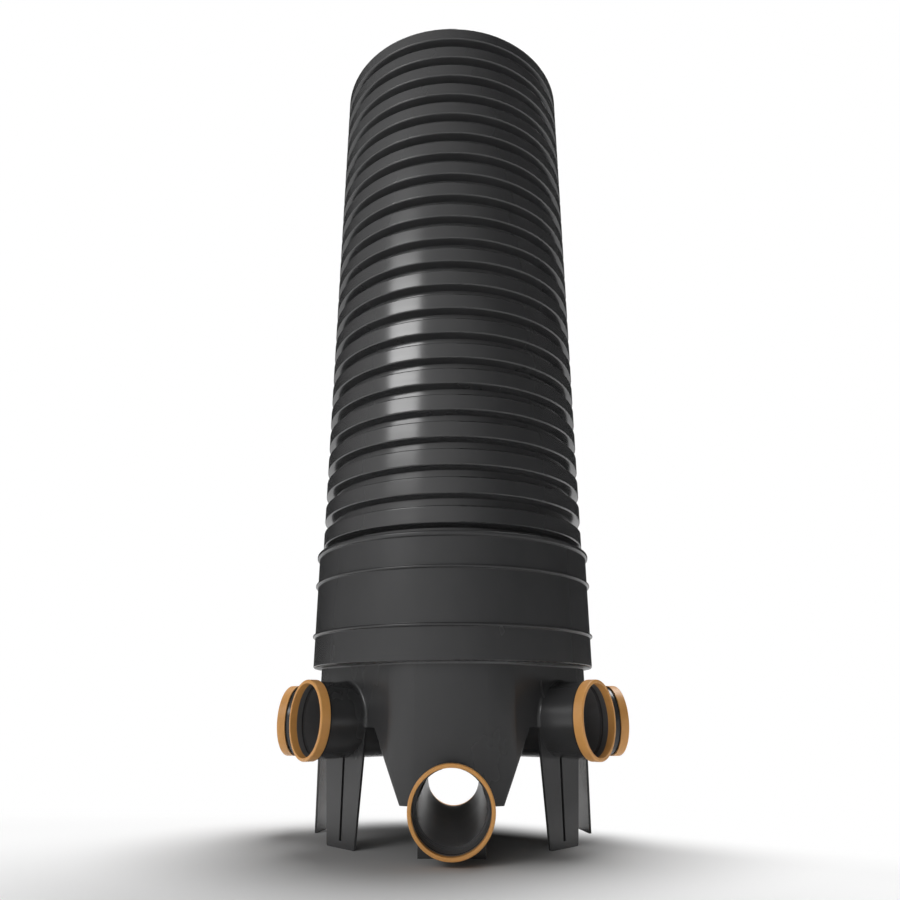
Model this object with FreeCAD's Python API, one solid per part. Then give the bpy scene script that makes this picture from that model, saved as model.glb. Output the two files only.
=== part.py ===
import FreeCAD, Part
import math
import os

V = FreeCAD.Vector
UP = V(0, 0, 1)
ORIGIN = V(0, 0, 0)

# Drain pipe and the sockets that take it
PIPE_R = 55.0
PIPE_GAP = 1.0
SOCKET_WALL = 3.0
SOCKET_DEPTH = 59.2
SOCKET_LENGTH = 54.6
SOCKET_STEP = 0.8
CHANNEL_R = 52.0
SNAP_WIDTH = 3.0
SNAP_DEPTH = 1.2

# Retaining ring and pipe seal at each socket mouth
RING_WALL = 2.6
RING_LENGTH = 15.7
RING_FACE = 2.6
RING_ROUND = 2.2
RING_LEAD_IN = 0.8
LINER_ROUND = 0.4
EDGE_ROUND = 0.6
LINER_WALL = 1.2
LINER_LENGTH = 12.0
SEAL_PLACE = 20.5
SEAL_LENGTH = 6.0
SEAL_THICKNESS = 1.6
SEAL_GROOVE = 0.8

# Corrugated riser pipe
RIB_COUNT = 26
RIB_PITCH = 50.0
CREST_R = 248.0
RIB_DEPTH = 16.0
CREST_WIDTH = 28.5
FLANK_RUN = 5.2
RISER_WALL = 3.6
CREST_ROUND = 2.6
VALLEY_ROUND = 1.6

# Socket ring of the base that holds the riser
RISER_GAP = 1.3
RISER_SOCKET_WALL = 4.5
SOCKET_TOP = 476.4
LEDGE_TOP = 280.4
LEDGE_THICKNESS = 7.6
LEDGE_REACH = 6.0
BEAD_OUT = 4.2
BEAD_HEIGHTS = (327.8, 418.7)
BEAD_R = 2.5
BEAD_ROOT = 1.2
RIM_HEIGHT = 8.6
RIM_ROUND = 3.4
SKIRT_ROUND = 3.0
LEAD_IN = 1.6

# Body under the socket ring, and the tapered trough down to the channel
BODY_R = 238.7
BODY_BOTTOM = 176.8
BODY_WALL = 5.0
FLAT_CUT = 21.7
FLAT_TURN = 45.0
FLAT_BLEND = 90.5
TROUGH_HALF_TOP = 122.5
TROUGH_HALF_BOTTOM = 77.3
TROUGH_ROUND = 4.0
LEDGE_FILLET = 2.0
BRANCH_FILLET = 5.0

# Axes of the sockets: heights, reach to the ring's face, turn from the front
CHANNEL_Z = 70.0
CHANNEL_REACH = 292.5
FRONT_Z = 187.6
FRONT_REACH = 289.6
FRONT_TURN = 54.3
REAR_Z = 184.3
REAR_REACH = 312.5
REAR_TURN = 100.6

# Legs and feet, plates that stand on the floor
PLATE = 4.0
FRONT_LEG_ASIDE = 30.5
FRONT_LEG_HALF = 35.3
FRONT_LEG_HALF_TOP = 54.0
REAR_LEG_DISTANCE = 240.5
REAR_LEG_HALF = 28.0
REAR_LEG_NEAR_TAPER = 7.0
REAR_LEG_FAR_TOP = 90.5
FOOT_DISTANCE = 216.5
FOOT_HALF = 49.8
CORNER_ROUND = 4.0
SLOT_WIDTH = 5.6
SLOT_DEPTH = 6.0
SLOT_BOTTOM = 10.5
SLOT_WALL = 2.5

# Rubber ring between the riser and its socket, counted in valleys from the bottom
SEAL_VALLEY = 3
RISER_SEAL_WIDTH = 10.0
RISER_SEAL_BULGE = 3.0
RISER_SEAL_ROUND = 2.0

# Overrun of a cutter past the face that it cuts
CUT_OVER = 1.0

# Sizes that follow
BORE_R = PIPE_R + PIPE_GAP
TUBE_R = BORE_R + SOCKET_WALL
LINER_R = BORE_R + LINER_WALL
SEAL_R = BORE_R + SEAL_THICKNESS
VALLEY_R = CREST_R - RIB_DEPTH
RISER_SOCKET_R = CREST_R + RISER_GAP
SKIRT_R = RISER_SOCKET_R + RISER_SOCKET_WALL
FLAT_DISTANCE = BODY_R - FLAT_CUT
LEDGE_BOTTOM = LEDGE_TOP - LEDGE_THICKNESS
RISER_TOP = LEDGE_TOP + RIB_COUNT * RIB_PITCH


def rounded_face(corners):
    """Flat face in the XZ plane from corners (x, z, rounding radius)."""
    edges = []
    count = len(corners)
    points = [V(x, 0, z) for x, z, r in corners]
    last = None
    first = None
    for i in range(count):
        here = points[i]
        back = (points[i - 1] - here).normalize()
        ahead = (points[(i + 1) % count] - here).normalize()
        radius = corners[i][2]
        if radius > 0:
            half = back.getAngle(ahead) / 2
            reach = radius / math.tan(half)
            start = here + back * reach
            end = here + ahead * reach
            middle_line = (back + ahead).normalize()
            middle = here + middle_line * (radius / math.sin(half) - radius)
        else:
            start = here
            end = here
        if last is not None and (start - last).Length > 1e-6:
            edges.append(Part.makeLine(last, start))
        if radius > 0:
            edges.append(Part.Arc(start, middle, end).toShape())
        if first is None:
            first = start
        last = end
    if (first - last).Length > 1e-6:
        edges.append(Part.makeLine(last, first))
    return Part.Face(Part.Wire(edges))


def turned(corners):
    """Solid turned about the Z axis from a profile of (radius, height, rounding)."""
    return rounded_face(corners).revolve(ORIGIN, UP, 360)


def plate(corners, y_from, y_to):
    """Flat plate with an outline in XZ between two places along Y."""
    face = rounded_face(corners)
    face.translate(V(0, y_from, 0))
    return face.extrude(V(0, y_to - y_from, 0))


def rod(radius, start, end):
    """Round bar along Z."""
    return Part.makeCylinder(radius, end - start, V(0, 0, start))


def outward(turn):
    """Level direction at an angle from the front."""
    return V(math.sin(math.radians(turn)), -math.cos(math.radians(turn)), 0)


def aim(shape, turn, height, reach):
    """Turn a shape made along +Z to point outwards at a socket's mouth."""
    out = outward(turn)
    placed = shape.copy()
    placed.Placement = FreeCAD.Placement(out * reach + UP * height, FreeCAD.Rotation(UP, out))
    return placed


def swing(shape, turn):
    """Turn a shape made at the front (-Y) about the chamber's axis."""
    placed = shape.copy()
    placed.rotate(ORIGIN, UP, turn)
    return placed


def both_sides(shape):
    """A shape and its mirror image across the YZ plane."""
    return [shape, shape.mirror(ORIGIN, V(1, 0, 0))]


def fuse_all(shapes):
    return shapes[0].multiFuse(shapes[1:]).removeSplitter()


def body_prism(inset, bottom, top):
    """Round body with a flat either side of its front, where the front side sockets leave."""
    height = top - bottom
    side = 2 * BODY_R
    prism = swing(Part.makeCylinder(BODY_R - inset, height, V(0, 0, bottom)), 90)
    flat = FLAT_DISTANCE - inset
    slab = Part.makeBox(side, side, height, V(-side / 2, -flat - side, bottom))
    for turn in (FLAT_TURN, -FLAT_TURN):
        prism = prism.cut(swing(slab, turn))
    corners = []
    for edge in prism.Edges:
        point = edge.Vertexes[0].Point
        upright = edge.BoundBox.ZLength > height / 2
        reach = max(point.dot(outward(turn)) for turn in (FLAT_TURN, -FLAT_TURN))
        if upright and abs(reach - flat) < 1e-6:
            corners.append(edge)
    return prism.makeFillet(FLAT_BLEND - inset, corners)


def trough(inset, bottom, top, rounding):
    """Tapered trough along the channel, cut to the plan of the body, with rounded upright edges."""
    slope = (TROUGH_HALF_TOP - TROUGH_HALF_BOTTOM) / (BODY_BOTTOM - CHANNEL_Z)
    sideways = inset * math.hypot(1, slope)

    def half(z):
        return TROUGH_HALF_BOTTOM + slope * (z - CHANNEL_Z) - sideways

    outline = [(-half(bottom), bottom, 0), (half(bottom), bottom, 0),
               (half(top), top, 0), (-half(top), top, 0)]
    block = plate(outline, -BODY_R, BODY_R).common(body_prism(inset, bottom, top))
    corners = []
    for edge in block.Edges:
        point = edge.valueAt((edge.FirstParameter + edge.LastParameter) / 2)
        if edge.BoundBox.ZLength > 1 and abs(abs(point.x) - half(point.z)) < 1e-3:
            corners.append(edge)
    return block.makeFillet(rounding, corners)


def riser_line(offset, half_valley, half_crest, crest_round, valley_round):
    """Corrugated line up the riser, one crest to each pitch."""
    line = []
    for k in range(RIB_COUNT):
        middle = LEDGE_TOP + (k + 0.5) * RIB_PITCH
        foot = RIB_PITCH / 2 - half_valley
        for side in (-1, 1):
            corner = (CREST_R - offset, middle + side * half_crest, crest_round)
            base = (VALLEY_R - offset, middle + side * foot, valley_round)
            line += [base, corner] if side < 0 else [corner, base]
    return line


def riser_pipe():
    half_crest = CREST_WIDTH / 2
    half_valley = RIB_PITCH / 2 - half_crest - FLANK_RUN
    shift = RISER_WALL * math.tan(math.atan2(RIB_DEPTH, FLANK_RUN) / 2)
    outer = riser_line(0, half_valley, half_crest, CREST_ROUND, 0)
    inner = riser_line(RISER_WALL, half_valley + shift, half_crest - shift, 0, VALLEY_ROUND)
    profile = [(VALLEY_R - RISER_WALL, LEDGE_TOP, 0), (VALLEY_R, LEDGE_TOP, 0)] + outer
    profile += [(VALLEY_R, RISER_TOP, 0), (VALLEY_R - RISER_WALL, RISER_TOP, 0)] + inner[::-1]
    return turned(profile)


def riser_seal():
    """Rubber ring that fills one valley and presses on the socket wall."""
    z = LEDGE_TOP + SEAL_VALLEY * RIB_PITCH
    half = RISER_SEAL_WIDTH / 2
    side = CREST_R - RISER_SEAL_BULGE
    press = RISER_SOCKET_R
    low = [(VALLEY_R, z - half, 0), (side, z - half, RISER_SEAL_ROUND), (press, z - half / 2, EDGE_ROUND)]
    high = [(press, z + half / 2, EDGE_ROUND), (side, z + half, RISER_SEAL_ROUND), (VALLEY_R, z + half, 0)]
    return turned(low + high)


def socket_ring_outside():
    """Skirt, rim and the two raised beads round the riser, turned from one line."""
    rim_r = SKIRT_R + BEAD_OUT
    line = [(0, LEDGE_BOTTOM, 0), (SKIRT_R, LEDGE_BOTTOM, SKIRT_ROUND)]
    for z in BEAD_HEIGHTS:
        line += [(SKIRT_R, z - BEAD_R, BEAD_ROOT), (rim_r, z - BEAD_R, BEAD_R),
                 (rim_r, z + BEAD_R, BEAD_R), (SKIRT_R, z + BEAD_R, BEAD_ROOT)]
    line += [(SKIRT_R, SOCKET_TOP - RIM_HEIGHT, BEAD_ROOT), (rim_r, SOCKET_TOP - RIM_HEIGHT, RIM_ROUND),
             (rim_r, SOCKET_TOP, RIM_ROUND), (0, SOCKET_TOP, 0)]
    return turned(line)


def body_outside():
    """Socket ring on the body, with a fillet in the corner under the ledge."""
    shape = fuse_all([socket_ring_outside(), body_prism(0, BODY_BOTTOM, LEDGE_TOP)])
    corner = []
    for edge in shape.Edges:
        point = edge.Vertexes[0].Point
        level = edge.BoundBox.ZLength < 1e-6 and abs(point.z - LEDGE_BOTTOM) < 1e-6
        if level and math.hypot(point.x, point.y) < BODY_R + 1e-6:
            corner.append(edge)
    return shape.makeFillet(LEDGE_FILLET, corner)


def socket_tube(length):
    """Tube with a slightly wider socket and the snap groove of the ring; the ring's face is at z = 0."""
    tube = rod(TUBE_R - SOCKET_STEP, -length, -RING_FACE).fuse(rod(TUBE_R, -SOCKET_LENGTH, -RING_FACE))
    over = TUBE_R + CUT_OVER
    groove = [(TUBE_R - SNAP_DEPTH, -RING_LENGTH - SNAP_WIDTH, 0), (over, -RING_LENGTH - SNAP_WIDTH, 0),
              (over, -RING_LENGTH, 0), (TUBE_R - SNAP_DEPTH, -RING_LENGTH, 0)]
    return tube.cut(turned(groove))


def socket_bore(length):
    """Flow channel, widened to take the pipe, the liner of the ring and the seal."""
    bore = rod(CHANNEL_R, -length, -SOCKET_DEPTH).fuse(rod(BORE_R, -SOCKET_DEPTH, 0))
    return bore.fuse(rod(LINER_R, -LINER_LENGTH, 0)).fuse(rod(SEAL_R, -SEAL_PLACE - SEAL_LENGTH, -SEAL_PLACE))


def fillet_front_branch(shape, turn):
    """Rounds the corner where the tube of a front side socket leaves the flat."""
    out = outward(turn)
    corner = []
    for edge in shape.Edges:
        leaves = not isinstance(edge.Curve, (Part.Line, Part.Circle))
        for part in (0.1, 0.5, 0.9):
            place = edge.FirstParameter + part * (edge.LastParameter - edge.FirstParameter)
            point = edge.valueAt(place) - UP * FRONT_Z
            along = point.dot(out)
            from_axis = (point - out * along).Length
            on_tube = min(abs(from_axis - TUBE_R), abs(from_axis - TUBE_R + SOCKET_STEP)) < 1e-3
            leaves = leaves and on_tube and along > 0.8 * FLAT_DISTANCE
        if leaves:
            corner.append(edge)
    return shape.makeFillet(BRANCH_FILLET, corner)


def leg_outside():
    """Tapered plate in line with the flat, with the pocket behind its slot."""
    low = FRONT_LEG_HALF
    high = FRONT_LEG_HALF_TOP
    outline = [(FRONT_LEG_ASIDE - low, 0, CORNER_ROUND), (FRONT_LEG_ASIDE + low, 0, CORNER_ROUND),
               (FRONT_LEG_ASIDE + high, FRONT_Z, 0), (FRONT_LEG_ASIDE - high, FRONT_Z, 0)]
    pocket_half = SLOT_WIDTH / 2 + SLOT_WALL
    pocket = Part.makeBox(2 * pocket_half, SLOT_DEPTH + SLOT_WALL, FRONT_Z - SLOT_BOTTOM + SLOT_WALL,
                          V(FRONT_LEG_ASIDE - pocket_half, -FLAT_DISTANCE, SLOT_BOTTOM - SLOT_WALL))
    return swing(plate(outline, -FLAT_DISTANCE, PLATE - FLAT_DISTANCE).fuse(pocket), FLAT_TURN)


def leg_slot():
    top = FRONT_Z - TUBE_R + SLOT_WALL
    slot = Part.makeBox(SLOT_WIDTH, SLOT_DEPTH + CUT_OVER, top - SLOT_BOTTOM,
                        V(FRONT_LEG_ASIDE - SLOT_WIDTH / 2, -FLAT_DISTANCE - CUT_OVER, SLOT_BOTTOM))
    return swing(slot, FLAT_TURN)


def rear_leg():
    """Plate under a rear side socket, flared on its rear edge only."""
    near = -REAR_LEG_HALF - REAR_LEG_NEAR_TAPER
    outline = [(-REAR_LEG_HALF, 0, 0), (REAR_LEG_HALF, 0, CORNER_ROUND), (TUBE_R, REAR_LEG_FAR_TOP, 0),
               (TUBE_R, REAR_Z, 0), (near, REAR_Z, 0)]
    return swing(plate(outline, -REAR_LEG_DISTANCE, -REAR_LEG_DISTANCE + PLATE), REAR_TURN)


def foot():
    """Plate under the through channel, at the front; the rear one mirrors it."""
    outline = [(-FOOT_HALF, 0, 0), (FOOT_HALF, 0, 0), (FOOT_HALF, CHANNEL_Z, 0), (-FOOT_HALF, CHANNEL_Z, 0)]
    front = plate(outline, -FOOT_DISTANCE, -FOOT_DISTANCE + PLATE)
    return [front, front.mirror(ORIGIN, V(0, 1, 0))]


def side_sockets(made):
    """A socket shape made for a reach, placed at the four side inlets."""
    front = aim(made(FRONT_REACH), FRONT_TURN, FRONT_Z, FRONT_REACH)
    rear = aim(made(REAR_REACH), REAR_TURN, REAR_Z, REAR_REACH)
    return both_sides(front) + both_sides(rear)


def channel_sockets(made):
    shape = made(CHANNEL_REACH)
    return [aim(shape, turn, CHANNEL_Z, CHANNEL_REACH) for turn in (0, 180)]


def base():
    outside = [body_outside(), trough(0, CHANNEL_Z, BODY_BOTTOM, TROUGH_ROUND)]
    body = fuse_all(outside + side_sockets(socket_tube))
    body = fillet_front_branch(fillet_front_branch(body, FRONT_TURN), -FRONT_TURN)
    plates = both_sides(leg_outside()) + both_sides(rear_leg()) + foot()

    floor = BODY_BOTTOM + BODY_WALL
    inside = [rod(RISER_SOCKET_R, LEDGE_TOP, SOCKET_TOP)]
    inside.append(turned([(0, SOCKET_TOP - LEAD_IN, 0), (RISER_SOCKET_R, SOCKET_TOP - LEAD_IN, 0),
                          (RISER_SOCKET_R + LEAD_IN, SOCKET_TOP, 0), (0, SOCKET_TOP, 0)]))
    inside.append(body_prism(BODY_WALL + LEDGE_REACH, LEDGE_BOTTOM, LEDGE_TOP))
    inside.append(body_prism(BODY_WALL, floor, LEDGE_BOTTOM))
    inside.append(trough(BODY_WALL, CHANNEL_Z + BODY_WALL, floor, TROUGH_ROUND))
    inside += side_sockets(socket_bore) + channel_sockets(socket_bore) + both_sides(leg_slot())
    return fuse_all([body] + channel_sockets(socket_tube) + plates).cut(fuse_all(inside)).removeSplitter()


def retaining_ring():
    """Cap that clips over the mouth and lines it, made with its face at z = 0."""
    outer = TUBE_R + RING_WALL
    return turned([(BORE_R, 0, RING_LEAD_IN), (outer, 0, RING_ROUND), (outer, -RING_LENGTH, EDGE_ROUND),
                   (TUBE_R, -RING_LENGTH, 0), (TUBE_R, -RING_FACE, 0), (LINER_R, -RING_FACE, 0),
                   (LINER_R, -LINER_LENGTH, 0), (BORE_R, -LINER_LENGTH, LINER_ROUND)])


def pipe_seal():
    """Rubber ring in the groove of the socket, behind the liner of the cap."""
    back = -SEAL_PLACE - SEAL_LENGTH
    return turned([(BORE_R, -SEAL_PLACE, 0), (SEAL_R, -SEAL_PLACE, 0), (SEAL_R, back, 0), (BORE_R, back, 0),
                   (BORE_R + SEAL_GROOVE, (back - SEAL_PLACE) / 2, EDGE_ROUND)])


# Sockets by name: turn from the front, height, reach
SOCKETS = {
    "outlet": (0, CHANNEL_Z, CHANNEL_REACH),
    "main_inlet": (180, CHANNEL_Z, CHANNEL_REACH),
    "right_front": (FRONT_TURN, FRONT_Z, FRONT_REACH),
    "left_front": (-FRONT_TURN, FRONT_Z, FRONT_REACH),
    "right_rear": (REAR_TURN, REAR_Z, REAR_REACH),
    "left_rear": (-REAR_TURN, REAR_Z, REAR_REACH),
}

pieces = {"base": base(), "riser_pipe": riser_pipe(), "riser_seal": riser_seal()}
for name, (turn, height, reach) in SOCKETS.items():
    pieces["retaining_ring_" + name] = aim(retaining_ring(), turn, height, reach)
    pieces["pipe_seal_" + name] = aim(pipe_seal(), turn, height, reach)

os.makedirs("parts", exist_ok=True)
for name, shape in pieces.items():
    shape.exportStep("parts/" + name + ".step")
    box = shape.BoundBox
    print(name, shape.isValid(), len(shape.Solids), len(shape.Faces), round(shape.Volume),
          [round(v, 2) for v in (box.XMin, box.XMax, box.YMin, box.YMax, box.ZMin, box.ZMax)])
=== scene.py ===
"""Drain inspection chamber: a corrugated riser in a base with six capped sockets."""

import math

import bpy
from bpy.props import FloatProperty, FloatVectorProperty, PointerProperty
from bpy.types import Operator, Panel, PropertyGroup
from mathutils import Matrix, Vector

bl_info = {
    "name": "Drain inspection chamber",
    "version": (1, 0, 0),
    "blender": (4, 5, 0),
    "location": "3D View > Sidebar > Chamber",
    "description": "Finishes a drain inspection chamber and sets its stage",
    "category": "Object",
}

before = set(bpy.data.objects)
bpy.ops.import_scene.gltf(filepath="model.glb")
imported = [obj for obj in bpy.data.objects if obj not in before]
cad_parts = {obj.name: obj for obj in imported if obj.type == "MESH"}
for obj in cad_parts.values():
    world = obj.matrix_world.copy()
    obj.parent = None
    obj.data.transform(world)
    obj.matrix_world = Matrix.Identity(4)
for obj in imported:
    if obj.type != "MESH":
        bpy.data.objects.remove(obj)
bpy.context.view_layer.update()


# Fixed measures, in metres unless a comment says otherwise. A pair is where a soft
# edge starts and where it ends.

# Sockets: the share of x and of y across the axis, and the height of the axis
SOCKETS = ((1, 0, 0.07), (0.5835, 0.8121, 0.1876), (0.184, -0.9829, 0.1843))
# Bores: the distance from each socket's axis at which the painted light fades out
BORE_EDGE = (0.0561, 0.0566)

# Ledge's underside: the heights between which light is painted on the base as a paler
# colour
LEDGE_FROM = (0.2704, 0.271)
LEDGE_TO = (0.2733, 0.2729)

# Floor: it turns white behind the chamber, on its right and far from it
FADE_BEHIND = (0.05, 0.3)
FADE_RIGHT = (0.03, 0.22)
RIGHT_X, RIGHT_Y = 0.55, 0.83
FADE_FAR = (0.9, 1.6)

# Floor: a painted shadow, a dark oval under the chamber, which lies towards the front
PAINTED_SHADOW_EDGE = (0.15, 0.6)
PAINTED_SHADOW_SQUEEZE = 1.45
PAINTED_SHADOW_FORWARD = 0.15

# Floor: painted shade, a dim band at the front right, which only mirrored rays meet
MIRRORED_SHADE_FROM = (0.2, 0.9)
MIRRORED_SHADE_TO = (3.0, 1.8)

# Lights: degrees turned from the front to the right and degrees up, the key light's
# width in degrees, how far away they are, how narrow the glow is, and what they face
KEY_PLACE = {"turn": 161, "height": 67}
KEY_WIDTH = 38
KEY_DISTANCE = 6
BOX_PLACE = {"turn": -44, "height": 26.2}
BOX_DISTANCE = 8
GLOW_PLACE = {"turn": -44, "height": 8}
GLOW_FOCUS = 1.5
LIT_POINT = Vector((0, 0, 0.8))

# Camera: its sensor in millimetres, its shift as a share of the frame, and the
# nearest and farthest that it sees
SENSOR = 36
SHIFT = 0.00056
NEAREST, FARTHEST = 0.01, 200

# Finishes: refraction of plastic and rubber, and how much rougher a place with painted
# light is
PLASTIC_IOR = 1.49
RUBBER_IOR = 1.5
PAINTED_LIGHT_ROUGHER = 0.09


# Settings


class PlasticSettings(PropertyGroup):
    """Colours and finish of the plastics and the rubber."""

    base_colour: FloatVectorProperty(
        name="Base colour",
        description="Colour of the moulded base",
        subtype="COLOR",
        default=(0.037, 0.037, 0.038),
        min=0,
        max=1,
    )
    # Painted light: a paler colour of the base in the bores and under the ledge
    painted_light_colour: FloatVectorProperty(
        name="Pale colour",
        description="Colour of the base in the bores and under the ledge",
        subtype="COLOR",
        default=(0.11, 0.11, 0.113),
        min=0,
        max=1,
    )
    riser_colour: FloatVectorProperty(
        name="Riser colour",
        description="Colour of the corrugated riser",
        subtype="COLOR",
        default=(0.034, 0.034, 0.035),
        min=0,
        max=1,
    )
    ring_colour: FloatVectorProperty(
        name="Ring colour",
        description="Colour of the caps on the sockets",
        subtype="COLOR",
        default=(0.72, 0.352, 0.102),
        min=0,
        max=1,
    )
    rubber_colour: FloatVectorProperty(
        name="Rubber colour",
        description="Colour of the seals",
        subtype="COLOR",
        default=(0.04, 0.04, 0.041),
        min=0,
        max=1,
    )
    base_roughness: FloatProperty(
        name="Base roughness",
        description="Satin finish of the moulded base",
        subtype="FACTOR",
        default=0.26,
        min=0,
        max=1,
    )
    riser_roughness: FloatProperty(
        name="Riser roughness",
        description="Gloss of the riser",
        subtype="FACTOR",
        default=0.2,
        min=0,
        max=1,
    )
    grain: FloatProperty(
        name="Grain",
        description="Width of the finest grain in the moulded plastic",
        unit="LENGTH",
        default=0.0012,
        min=0.0002,
        max=0.01,
    )


class StageSettings(PropertyGroup):
    """Camera, floor and light."""

    camera_place: FloatVectorProperty(
        name="Camera place",
        description="Where the camera stands",
        subtype="XYZ_LENGTH",
        unit="LENGTH",
        default=(0.0092, -1.4039, 0.20212),
    )
    camera_tilt: FloatProperty(
        name="Camera tilt",
        description="How far the camera looks up",
        subtype="ANGLE",
        default=0.34318,
    )
    camera_turn: FloatProperty(
        name="Camera turn",
        description="How far the camera is turned to the left",
        subtype="ANGLE",
        default=0.00932,
    )
    focal_length: FloatProperty(
        name="Focal length",
        description="Focal length of the lens on a 36 mm sensor",
        subtype="DISTANCE_CAMERA",
        default=29.09,
    )
    floor_size: FloatProperty(
        name="Floor size",
        description="Side of the floor",
        unit="LENGTH",
        default=60,
    )
    world_light: FloatProperty(
        name="World light",
        description="Even light from all sides",
        default=0.035,
        min=0,
    )
    key_light: FloatProperty(
        name="Key light",
        description="Soft light from above and behind, on the right",
        default=2.6,
        min=0,
    )
    glow_light: FloatProperty(
        name="Glow light",
        description="Wide weak light from the front, on the left",
        default=0.68,
        min=0,
    )
    box_light: FloatProperty(
        name="Box light",
        description="Brightness of the box light that the ribs mirror",
        default=5.5,
        min=0,
    )
    box_size: FloatVectorProperty(
        name="Box size",
        description="Width and height of the box light",
        subtype="XYZ_LENGTH",
        unit="LENGTH",
        size=2,
        default=(3.6, 2.0),
        min=0,
    )


# Shader tools


class Value:
    """A shader socket. An expression on it adds its Math nodes."""

    def __init__(self, shader, socket):
        self.shader = shader
        self.socket = socket

    def math(self, operation, first, second):
        node = self.shader.make(
            "ShaderNodeMath", {"operation": operation}, {0: first, 1: second}
        )
        return node.out("Value")

    def __add__(self, other):
        return self.math("ADD", self, other)

    __radd__ = __add__

    def __sub__(self, other):
        return self.math("SUBTRACT", self, other)

    def __rsub__(self, other):
        return self.math("SUBTRACT", other, self)

    def __mul__(self, other):
        return self.math("MULTIPLY", self, other)

    __rmul__ = __mul__

    def __pow__(self, other):
        return self.math("POWER", self, other)

    def __abs__(self):
        return self.math("ABSOLUTE", self, 0)

    def larger(self, other):
        return self.math("MAXIMUM", self, other)


class Made:
    """A node that has been made, with its outputs by name or number."""

    def __init__(self, shader, node):
        self.shader = shader
        self.node = node

    def out(self, name):
        return Value(self.shader, self.node.outputs[name])


class Shader:
    """A node tree that is emptied and filled again."""

    def __init__(self, tree):
        self.tree = tree
        tree.nodes.clear()

    def make(self, kind, settings=None, values=None):
        """Any node: its type, its settings, and the values or links of its sockets."""
        node = self.tree.nodes.new(kind)
        for name, setting in (settings or {}).items():
            setattr(node, name, setting)
        for name, value in (values or {}).items():
            if isinstance(value, Value):
                self.tree.links.new(value.socket, node.inputs[name])
            else:
                node.inputs[name].default_value = value
        return Made(self, node)

    def place(self, stretch=(1, 1, 1)):
        """Object coordinates in metres, stretched along each axis."""
        coordinates = self.make("ShaderNodeTexCoord").out("Object")
        return self.make(
            "ShaderNodeMapping", None, {"Vector": coordinates, "Scale": stretch}
        ).out("Vector")

    def axes(self):
        """Object coordinates as three numbers in metres."""
        split = self.make("ShaderNodeSeparateXYZ", None, {"Vector": self.place()})
        return split.out("X"), split.out("Y"), split.out("Z")

    def ramp(self, value, low, high):
        """0 at the low value, 1 at the high one, smooth between them."""
        return self.make(
            "ShaderNodeMapRange",
            {"interpolation_type": "SMOOTHSTEP"},
            {"Value": value, "From Min": low, "From Max": high},
        ).out("Result")

    def noise(self, size, detail=3, rough=0.6, stretch=(1, 1, 1)):
        """Noise from 0 to 1 whose blobs are about size metres wide."""
        return self.make(
            "ShaderNodeTexNoise",
            {"noise_dimensions": "3D"},
            {
                "Vector": self.place(stretch),
                "Scale": 1 / size,
                "Detail": detail,
                "Roughness": rough,
            },
        ).out("Fac")

    def blend(self, factor, first, second):
        """A colour between two colours. The Mix node's colours go by number."""
        values = {0: factor, 6: first, 7: second}
        return self.make("ShaderNodeMix", {"data_type": "RGBA"}, values).out(2)

    def bump(self, height, distance, strength, before=None):
        """A bumpy normal, on top of the one before where there is one."""
        values = {"Height": height, "Distance": distance, "Strength": strength}
        if before is not None:
            values["Normal"] = before
        return self.make("ShaderNodeBump", None, values).out("Normal")


# Finishes


def grey(level):
    """An opaque grey, from 0 for black to 1 for white."""
    return (level, level, level, 1)


BLACK = grey(0)
WHITE = grey(1)
PAPER = grey(0.93)
# Paper for the painted shadow under the chamber and the painted shade in the mirrored
# band
PAINTED_SHADE_PAPER = grey(0.42)


def opaque(colour, factor=1.0):
    """An opaque colour, darker or lighter by a factor."""
    return tuple(channel * factor for channel in colour) + (1.0,)


def mottled(shader, pattern, colour, dark, light):
    """A colour that a pattern takes from dark to light times itself."""
    return shader.blend(pattern, opaque(colour, dark), opaque(colour, light))


def uneven(middle, pattern, spread):
    """A number that a pattern moves to both sides of its middle."""
    return middle + (pattern - 0.5) * spread


def diagonal(first, second):
    """Distance that two numbers at right angles give."""
    return (first * first + second * second) ** 0.5


def finish(name, values):
    """A material with one Principled shader, whose fixed numbers are set on it."""
    material = bpy.data.materials.new(name)
    material.use_nodes = True
    shader = Shader(material.node_tree)
    principled = shader.make("ShaderNodeBsdfPrincipled", None, values(shader))
    shader.make("ShaderNodeOutputMaterial", None, {"Surface": principled.out("BSDF")})
    return material


def painted_light_places(shader):
    """1 where light is painted on the base, in the bores of the sockets and under the
    ledge; 0 elsewhere.
    """
    x, y, z = shader.axes()
    outside = 1 - shader.ramp(z, *LEDGE_FROM) * shader.ramp(z, *LEDGE_TO)
    for share_of_x, share_of_y, height in SOCKETS:
        across = abs(x) * share_of_x + y * share_of_y
        outside = outside * shader.ramp(diagonal(across, z - height), *BORE_EDGE)
    return 1 - outside


def moulded_plastic(settings):
    """Black moulded plastic: satin, with a fine grain, and painted light in the bores
    and under the ledge.
    """

    def values(shader):
        flow = shader.noise(size=0.09, stretch=(1, 1, 0.5))
        grain = shader.noise(size=settings.grain)
        waves = shader.noise(size=0.03, detail=1, rough=0.5)
        # Painted light: the base is paler in the bores and under the ledge
        painted_light = painted_light_places(shader)
        colour = mottled(shader, flow, settings.base_colour, dark=0.85, light=1.2)
        roughness = uneven(settings.base_roughness, flow, spread=0.1)
        wavy = shader.bump(waves, distance=0.0002, strength=0.3)
        return {
            "Base Color": shader.blend(painted_light, colour, opaque(settings.painted_light_colour)),
            "Roughness": roughness + painted_light * PAINTED_LIGHT_ROUGHER,
            "IOR": PLASTIC_IOR,
            "Specular IOR Level": 0.62,
            "Normal": shader.bump(grain, distance=0.00003, strength=0.25, before=wavy),
        }

    return finish("moulded_plastic", values)


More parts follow.
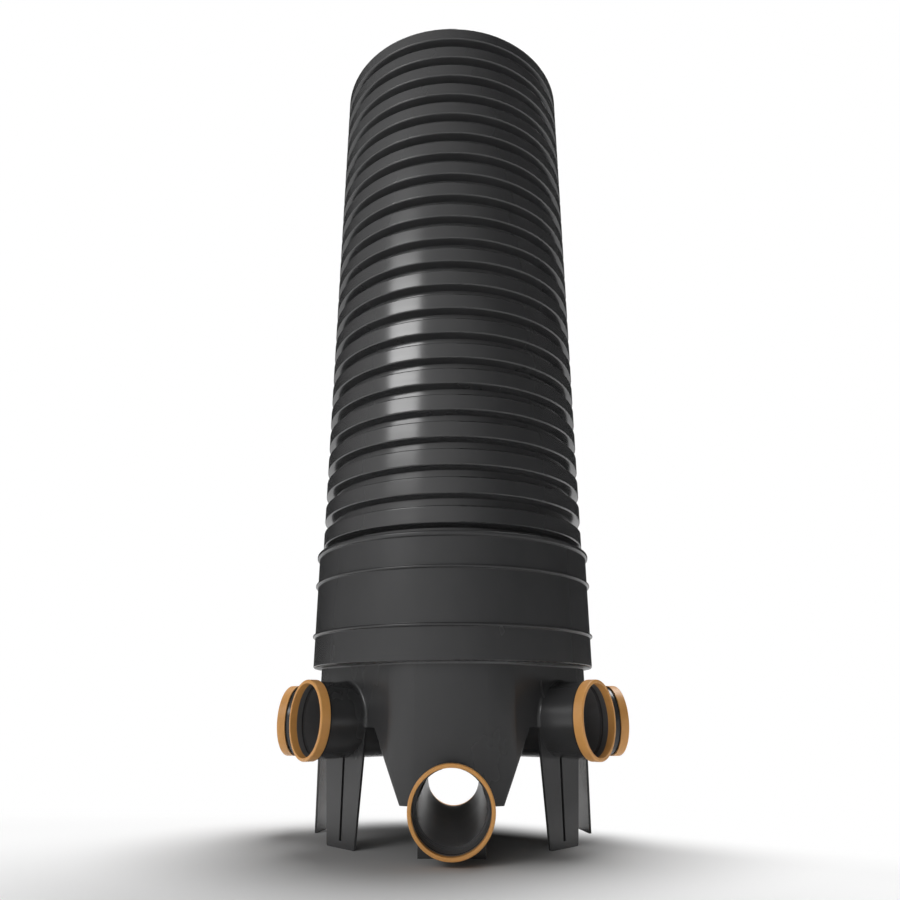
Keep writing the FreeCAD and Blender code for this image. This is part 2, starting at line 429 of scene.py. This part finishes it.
def corrugated_plastic(settings):
    """Black pipe plastic: glossier, with faint lines around the pipe."""

    def values(shader):
        cloud = shader.noise(size=0.12)
        lines = shader.noise(size=0.003, detail=2, stretch=(0.03, 0.03, 1))
        colour = mottled(shader, cloud, settings.riser_colour, dark=0.85, light=1.2)
        roughness = uneven(settings.riser_roughness, cloud, spread=0.1)
        return {
            "Base Color": colour,
            "Roughness": uneven(roughness, lines, spread=0.12),
            "IOR": PLASTIC_IOR,
            "Specular IOR Level": 1.0,
            "Normal": shader.bump(lines, distance=0.00004, strength=0.3),
        }

    return finish("corrugated_plastic", values)


def cap_plastic(settings):
    """Tan orange plastic of the caps: satin, faintly marbled."""

    def values(shader):
        marble = shader.noise(size=0.02)
        grain = shader.noise(size=settings.grain)
        return {
            "Base Color": mottled(
                shader, marble, settings.ring_colour, dark=0.9, light=1.1
            ),
            "Roughness": uneven(0.42, marble, spread=0.12),
            "IOR": PLASTIC_IOR,
            "Normal": shader.bump(grain, distance=0.00004, strength=0.6),
        }

    return finish("cap_plastic", values)


def seal_rubber(settings):
    """Dull black rubber with a faint bloom."""

    def values(shader):
        bloom = shader.noise(size=0.008)
        grain = shader.noise(size=0.0008, detail=2, rough=0.5)
        return {
            "Base Color": mottled(
                shader, bloom, settings.rubber_colour, dark=0.8, light=1.5
            ),
            "Roughness": uneven(0.6, bloom, spread=0.15),
            "IOR": RUBBER_IOR,
            "Normal": shader.bump(grain, distance=0.00005, strength=0.6),
        }

    return finish("seal_rubber", values)


def floor_paper():
    """Pale paper: white around the chamber, with a painted shadow under it.

    Only the camera sees it so. Only mirrored rays meet the painted shade, a dim band in
    front.
    """

    def values(shader):
        x, y, _ = shader.axes()
        path = shader.make("ShaderNodeLightPath")
        seen, mirrored = path.out("Is Camera Ray"), path.out("Is Glossy Ray")
        distance = diagonal(x, y)
        behind = shader.ramp(y, *FADE_BEHIND)
        right = shader.ramp(x * RIGHT_X + y * RIGHT_Y, *FADE_RIGHT)
        far = shader.ramp(distance, *FADE_FAR)
        white = (1 - (1 - behind) * (1 - right) * (1 - far)) * seen
        # Painted shadow: a dark oval of paper under the chamber, seen by the camera
        # only
        shadow_oval = diagonal(x, y * PAINTED_SHADOW_SQUEEZE + PAINTED_SHADOW_FORWARD)
        painted_shadow = (1 - shader.ramp(shadow_oval, *PAINTED_SHADOW_EDGE)) * seen
        # Painted shade: a dim band of paper at the front right, met only by mirrored
        # rays
        mirrored_shade = shader.ramp(x - y, *MIRRORED_SHADE_FROM) * shader.ramp(distance, *MIRRORED_SHADE_TO)
        paper = shader.blend(painted_shadow + mirrored * mirrored_shade, PAPER, PAINTED_SHADE_PAPER)
        return {
            "Base Color": shader.blend(white, paper, BLACK),
            "Roughness": 0.9,
            "Specular IOR Level": 0.0,
            "Emission Color": shader.blend(white, BLACK, WHITE),
            "Emission Strength": 1.0,
        }

    return finish("floor_paper", values)


# Pieces


def dress(nodes, material):
    """Gives CAD nodes a material."""
    for node in nodes:
        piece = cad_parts[node]
        piece.data.materials.clear()
        piece.data.materials.append(material)


def nodes_named(start):
    """CAD nodes whose names start in this way."""
    return sorted(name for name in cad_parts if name.startswith(start))


class CHAMBER_OT_base(Operator):
    """Finishes the moulded base"""

    bl_idname = "chamber.base"
    bl_label = "Moulded base"

    def execute(self, context):
        dress(["base"], moulded_plastic(context.scene.chamber_plastic))
        return {"FINISHED"}


class CHAMBER_OT_riser(Operator):
    """Finishes the corrugated riser"""

    bl_idname = "chamber.riser"
    bl_label = "Corrugated riser"

    def execute(self, context):
        dress(["riser_pipe"], corrugated_plastic(context.scene.chamber_plastic))
        return {"FINISHED"}


class CHAMBER_OT_rings(Operator):
    """Finishes the caps on the sockets"""

    bl_idname = "chamber.rings"
    bl_label = "Retaining rings"

    def execute(self, context):
        dress(nodes_named("retaining_ring"), cap_plastic(context.scene.chamber_plastic))
        return {"FINISHED"}


class CHAMBER_OT_seals(Operator):
    """Finishes the rubber seals"""

    bl_idname = "chamber.seals"
    bl_label = "Rubber seals"

    def execute(self, context):
        names = nodes_named("pipe_seal") + ["riser_seal"]
        dress(names, seal_rubber(context.scene.chamber_plastic))
        return {"FINISHED"}


# Stage


def deselect():
    """Leaves edit mode and selects nothing, so that an operator acts on new work."""
    if bpy.context.object and bpy.context.object.mode != "OBJECT":
        bpy.ops.object.mode_set(mode="OBJECT")
    bpy.ops.object.select_all(action="DESELECT")


def direction(turn, height):
    """Direction turned from the front to the right, and raised, in degrees."""
    turn = math.radians(turn)
    height = math.radians(height)
    level = Vector((math.sin(turn), -math.cos(turn), 0))
    return level * math.cos(height) + Vector((0, 0, math.sin(height)))


def studio_world(even, glow):
    """White to the camera. The light is even, with a wide glow from the front left."""
    world = bpy.data.worlds.new("studio")
    world.use_nodes = True
    shader = Shader(world.node_tree)
    path = shader.make("ShaderNodeLightPath")
    seen = path.out("Is Camera Ray").larger(path.out("Is Transmission Ray"))
    sky = shader.make("ShaderNodeTexCoord").out("Generated")
    towards = shader.make(
        "ShaderNodeVectorMath",
        {"operation": "DOT_PRODUCT"},
        {0: sky, 1: direction(**GLOW_PLACE)},
    ).out("Value")
    light = even + towards.larger(0) ** GLOW_FOCUS * glow
    background = shader.make(
        "ShaderNodeBackground",
        None,
        {"Color": WHITE, "Strength": light + seen * (1 - light)},
    )
    shader.make(
        "ShaderNodeOutputWorld", None, {"Surface": background.out("Background")}
    )
    bpy.context.scene.world = world


def lamp(kind, name, settings, distance, turn, height):
    """Lamp aimed at the middle of the chamber."""
    away = direction(turn, height)
    data = bpy.data.lights.new(name, kind)
    for key, value in settings.items():
        setattr(data, key, value)
    piece = bpy.data.objects.new(name, data)
    bpy.context.scene.collection.objects.link(piece)
    piece.location = LIT_POINT + distance * away
    piece.rotation_euler = away.to_track_quat("Z", "Y").to_euler()


def hang_lights(settings):
    """A soft sun behind on the right and a box light at the front left."""
    sun = {"energy": settings.key_light, "angle": math.radians(KEY_WIDTH)}
    lamp("SUN", "key_light", sun, KEY_DISTANCE, **KEY_PLACE)
    width, height = settings.box_size
    box = {
        "energy": settings.box_light * math.pi * width * height,
        "shape": "RECTANGLE",
        "size": width,
        "size_y": height,
    }
    lamp("AREA", "box_light", box, BOX_DISTANCE, **BOX_PLACE)


def lay_floor(size):
    """A square sheet of paper under the chamber."""
    deselect()
    bpy.ops.mesh.primitive_plane_add(size=size)
    floor = bpy.context.object
    floor.name = "floor"
    floor.data.materials.append(floor_paper())


def place_camera(settings):
    """The camera low in front of the chamber, which looks up at it."""
    scene = bpy.context.scene
    camera = bpy.data.objects.new("camera", bpy.data.cameras.new("camera"))
    scene.collection.objects.link(camera)
    camera.location = settings.camera_place
    camera.rotation_euler = (
        math.pi / 2 + settings.camera_tilt,
        0,
        settings.camera_turn,
    )
    camera.data.lens = settings.focal_length
    camera.data.sensor_width = SENSOR
    camera.data.shift_x = -SHIFT
    camera.data.shift_y = SHIFT
    camera.data.clip_start = NEAREST
    camera.data.clip_end = FARTHEST
    scene.camera = camera


class CHAMBER_OT_stage(Operator):
    """Sets the floor, the light and the camera"""

    bl_idname = "chamber.stage"
    bl_label = "Stage"

    def execute(self, context):
        settings = context.scene.chamber_stage
        lay_floor(settings.floor_size)
        studio_world(settings.world_light, settings.glow_light)
        hang_lights(settings)
        place_camera(settings)
        context.scene.view_settings.view_transform = "Standard"
        return {"FINISHED"}


class CHAMBER_PT_panel(Panel):
    """Lists the pieces and the stage"""

    bl_idname = "CHAMBER_PT_panel"
    bl_label = "Drain inspection chamber"
    bl_space_type = "VIEW_3D"
    bl_region_type = "UI"
    bl_category = "Chamber"

    def draw(self, context):
        layout = self.layout
        for group in (context.scene.chamber_plastic, context.scene.chamber_stage):
            box = layout.box()
            for name in group.bl_rna.properties.keys():
                if name not in ("rna_type", "name"):
                    box.prop(group, name)
        for operator in STEPS:
            layout.operator(operator.bl_idname)


STEPS = (
    CHAMBER_OT_base,
    CHAMBER_OT_riser,
    CHAMBER_OT_rings,
    CHAMBER_OT_seals,
    CHAMBER_OT_stage,
)
CLASSES = (PlasticSettings, StageSettings, *STEPS, CHAMBER_PT_panel)


def register():
    for cls in CLASSES:
        bpy.utils.register_class(cls)
    bpy.types.Scene.chamber_plastic = PointerProperty(type=PlasticSettings)
    bpy.types.Scene.chamber_stage = PointerProperty(type=StageSettings)


def unregister():
    del bpy.types.Scene.chamber_stage
    del bpy.types.Scene.chamber_plastic
    for cls in reversed(CLASSES):
        bpy.utils.unregister_class(cls)


def main():
    register()
    bpy.ops.chamber.base()
    bpy.ops.chamber.riser()
    bpy.ops.chamber.rings()
    bpy.ops.chamber.seals()
    bpy.ops.chamber.stage()


if __name__ == "__main__":
    main()
